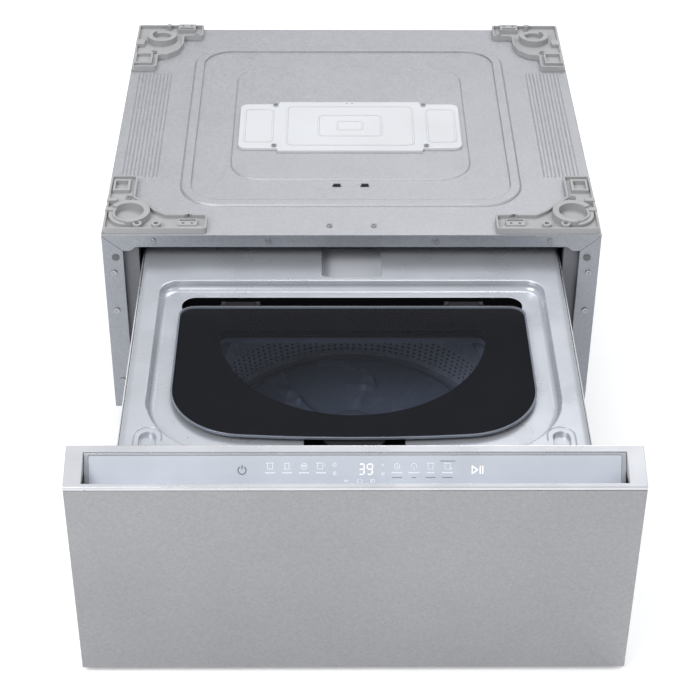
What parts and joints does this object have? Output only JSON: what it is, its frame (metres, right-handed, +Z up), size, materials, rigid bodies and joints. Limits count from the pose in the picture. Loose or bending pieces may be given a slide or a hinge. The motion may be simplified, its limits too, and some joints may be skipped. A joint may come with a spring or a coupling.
{
  "type": "pedestal drawer washing machine",
  "caption": "Low steel cabinet with a slide-out drawer that holds a small top-load washing tub under a tinted glass lid, with touch controls along the drawer's top edge.",
  "frame": {"origin": "on the floor, in the middle of the whole object as it stands with its drawer fully open", "axes": "+X to the right of a person facing the drawer, +Y to the rear, +Z up"},
  "size_m": [0.686, 1.136, 0.359],
  "materials": {
    "galvanised": "satin",
    "cabinet_steel": "satin",
    "dark_steel": "satin",
    "white_paint": "satin",
    "bracket_grey": "matte",
    "zinc_screw": "satin",
    "grey_plug": "matte",
    "slide_steel": "satin",
    "black_rubber": "matte",
    "foot_rubber": "matte",
    "white_plastic": "satin",
    "dark_plastic": "satin",
    "ballast_iron": "matte",
    "silver_cover": "satin",
    "silver_trim": "satin",
    "stainless": "satin",
    "panel_glass": "gloss",
    "board_green": "satin",
    "tinted_glass": "gloss",
    "lid_black": "satin",
    "tub_grey": "satin",
    "basket_steel": "polished",
    "pulsator_grey": "satin",
    "motor_metal": "satin",
    "rod_steel": "satin"
  },
  "bodies": {
    "cabinet": {"side_panel_left": "cabinet_steel", "side_panel_right": "cabinet_steel", "front_top_rail": "cabinet_steel", "front_bottom_rail": "cabinet_steel", "base_pan": "galvanised", "rear_panel": "galvanised", "top_plate": "galvanised", "access_cover": "white_paint", "top_screws": "zinc_screw", "corner_bracket_front_left": "bracket_grey", "corner_bracket_front_right": "bracket_grey", "corner_bracket_rear_left": "bracket_grey", "corner_bracket_rear_right": "bracket_grey", "front_frame_screws": "zinc_screw", "front_frame_plugs": "grey_plug", "lock_housing": "dark_plastic", "inlet_valve": "white_plastic", "drain_outlet": "tub_grey", "cord_gland": "black_rubber", "control_box": "white_plastic", "ballast_weight": "ballast_iron", "slide_outers": "slide_steel"},
    "lock_bolt": {"lock_bolt": "rod_steel"},
    "slide_middle_left": {"slide_middle_left": "slide_steel"},
    "slide_middle_right": {"slide_middle_right": "slide_steel"},
    "drawer": {"slide_inners": "slide_steel", "drawer_case": "galvanised", "drawer_top_trim": "silver_trim", "control_bezel": "silver_trim", "control_panel": "panel_glass", "control_board": "board_green", "drawer_front_skin": "stainless", "drawer_front_liner": "silver_trim", "tub_cover": "silver_cover", "cover_screw_caps": "silver_cover", "lid_hinge_brackets": "dark_plastic", "lid_hinge_pins": "rod_steel", "outer_tub": "tub_grey", "tub_top_ring": "tub_grey", "tub_bellows": "black_rubber", "tub_bearings": "rod_steel", "suspension_rods": "rod_steel", "motor_stator": "motor_metal", "drain_pump": "dark_plastic"},
    "lid": {"lid_glass": "tinted_glass", "lid_frame": "lid_black", "lid_seal": "black_rubber", "lid_tab": "lid_black"},
    "basket": {"wash_basket": "basket_steel", "basket_base": "tub_grey", "balance_ring": "pulsator_grey", "basket_shaft": "rod_steel"},
    "pulsator": {"pulsator": "pulsator_grey", "pulsator_cap": "pulsator_grey", "pulsator_shaft": "rod_steel", "motor_rotor": "dark_steel"},
    "levelling_foot_front_left": {"levelling_foot_front_left": "foot_rubber"},
    "levelling_foot_rear_left": {"levelling_foot_rear_left": "foot_rubber"},
    "levelling_foot_front_right": {"levelling_foot_front_right": "foot_rubber"},
    "levelling_foot_rear_right": {"levelling_foot_rear_right": "foot_rubber"}
  },
  "joints": [
    {"name": "drawer_slide", "type": "slide", "parent": "cabinet", "child": "drawer", "axis": [0, -1, 0], "range_m": [-0.427, 0]},
    {"name": "slide_middle_left_travel", "type": "slide", "parent": "cabinet", "child": "slide_middle_left", "axis": [0, -1, 0], "range_m": [-0.2135, 0]},
    {"name": "slide_middle_right_travel", "type": "slide", "parent": "cabinet", "child": "slide_middle_right", "axis": [0, -1, 0], "range_m": [-0.2135, 0]},
    {"name": "lock_bolt_travel", "type": "slide", "parent": "cabinet", "child": "lock_bolt", "axis": [0, 0, -1], "range_m": [0, 0.016], "stiffness_N_per_m": 60, "springref_m": -0.01},
    {"name": "lid_hinge", "type": "hinge", "parent": "drawer", "child": "lid", "pos_m": [0, -0.173, 0.289], "axis": [-1, 0, 0], "range_deg": [0, 95]},
    {"name": "basket_spin", "type": "hinge", "parent": "drawer", "child": "basket", "pos_m": [0, -0.245, 0.15], "axis": [0, 0, 1], "continuous": true},
    {"name": "pulsator_spin", "type": "hinge", "parent": "basket", "child": "pulsator", "pos_m": [0, -0.245, 0.12], "axis": [0, 0, 1], "continuous": true},
    {"name": "levelling_foot_front_left_turn", "type": "hinge", "parent": "cabinet", "child": "levelling_foot_front_left", "pos_m": [-0.314, -0.045, 0.02], "axis": [0, 0, 1], "range_deg": [-1080, 1080]},
    {"name": "levelling_foot_rear_left_turn", "type": "hinge", "parent": "cabinet", "child": "levelling_foot_rear_left", "pos_m": [-0.314, 0.498, 0.02], "axis": [0, 0, 1], "range_deg": [-1080, 1080]},
    {"name": "levelling_foot_front_right_turn", "type": "hinge", "parent": "cabinet", "child": "levelling_foot_front_right", "pos_m": [0.314, -0.045, 0.02], "axis": [0, 0, 1], "range_deg": [-1080, 1080]},
    {"name": "levelling_foot_rear_right_turn", "type": "hinge", "parent": "cabinet", "child": "levelling_foot_rear_right", "pos_m": [0.314, 0.498, 0.02], "axis": [0, 0, 1], "range_deg": [-1080, 1080]}
  ],
  "couplings": [
    {"joint": "slide_middle_left_travel", "follows": "drawer_slide", "ratio": 0.5},
    {"joint": "slide_middle_right_travel", "follows": "drawer_slide", "ratio": 0.5}
  ]
}
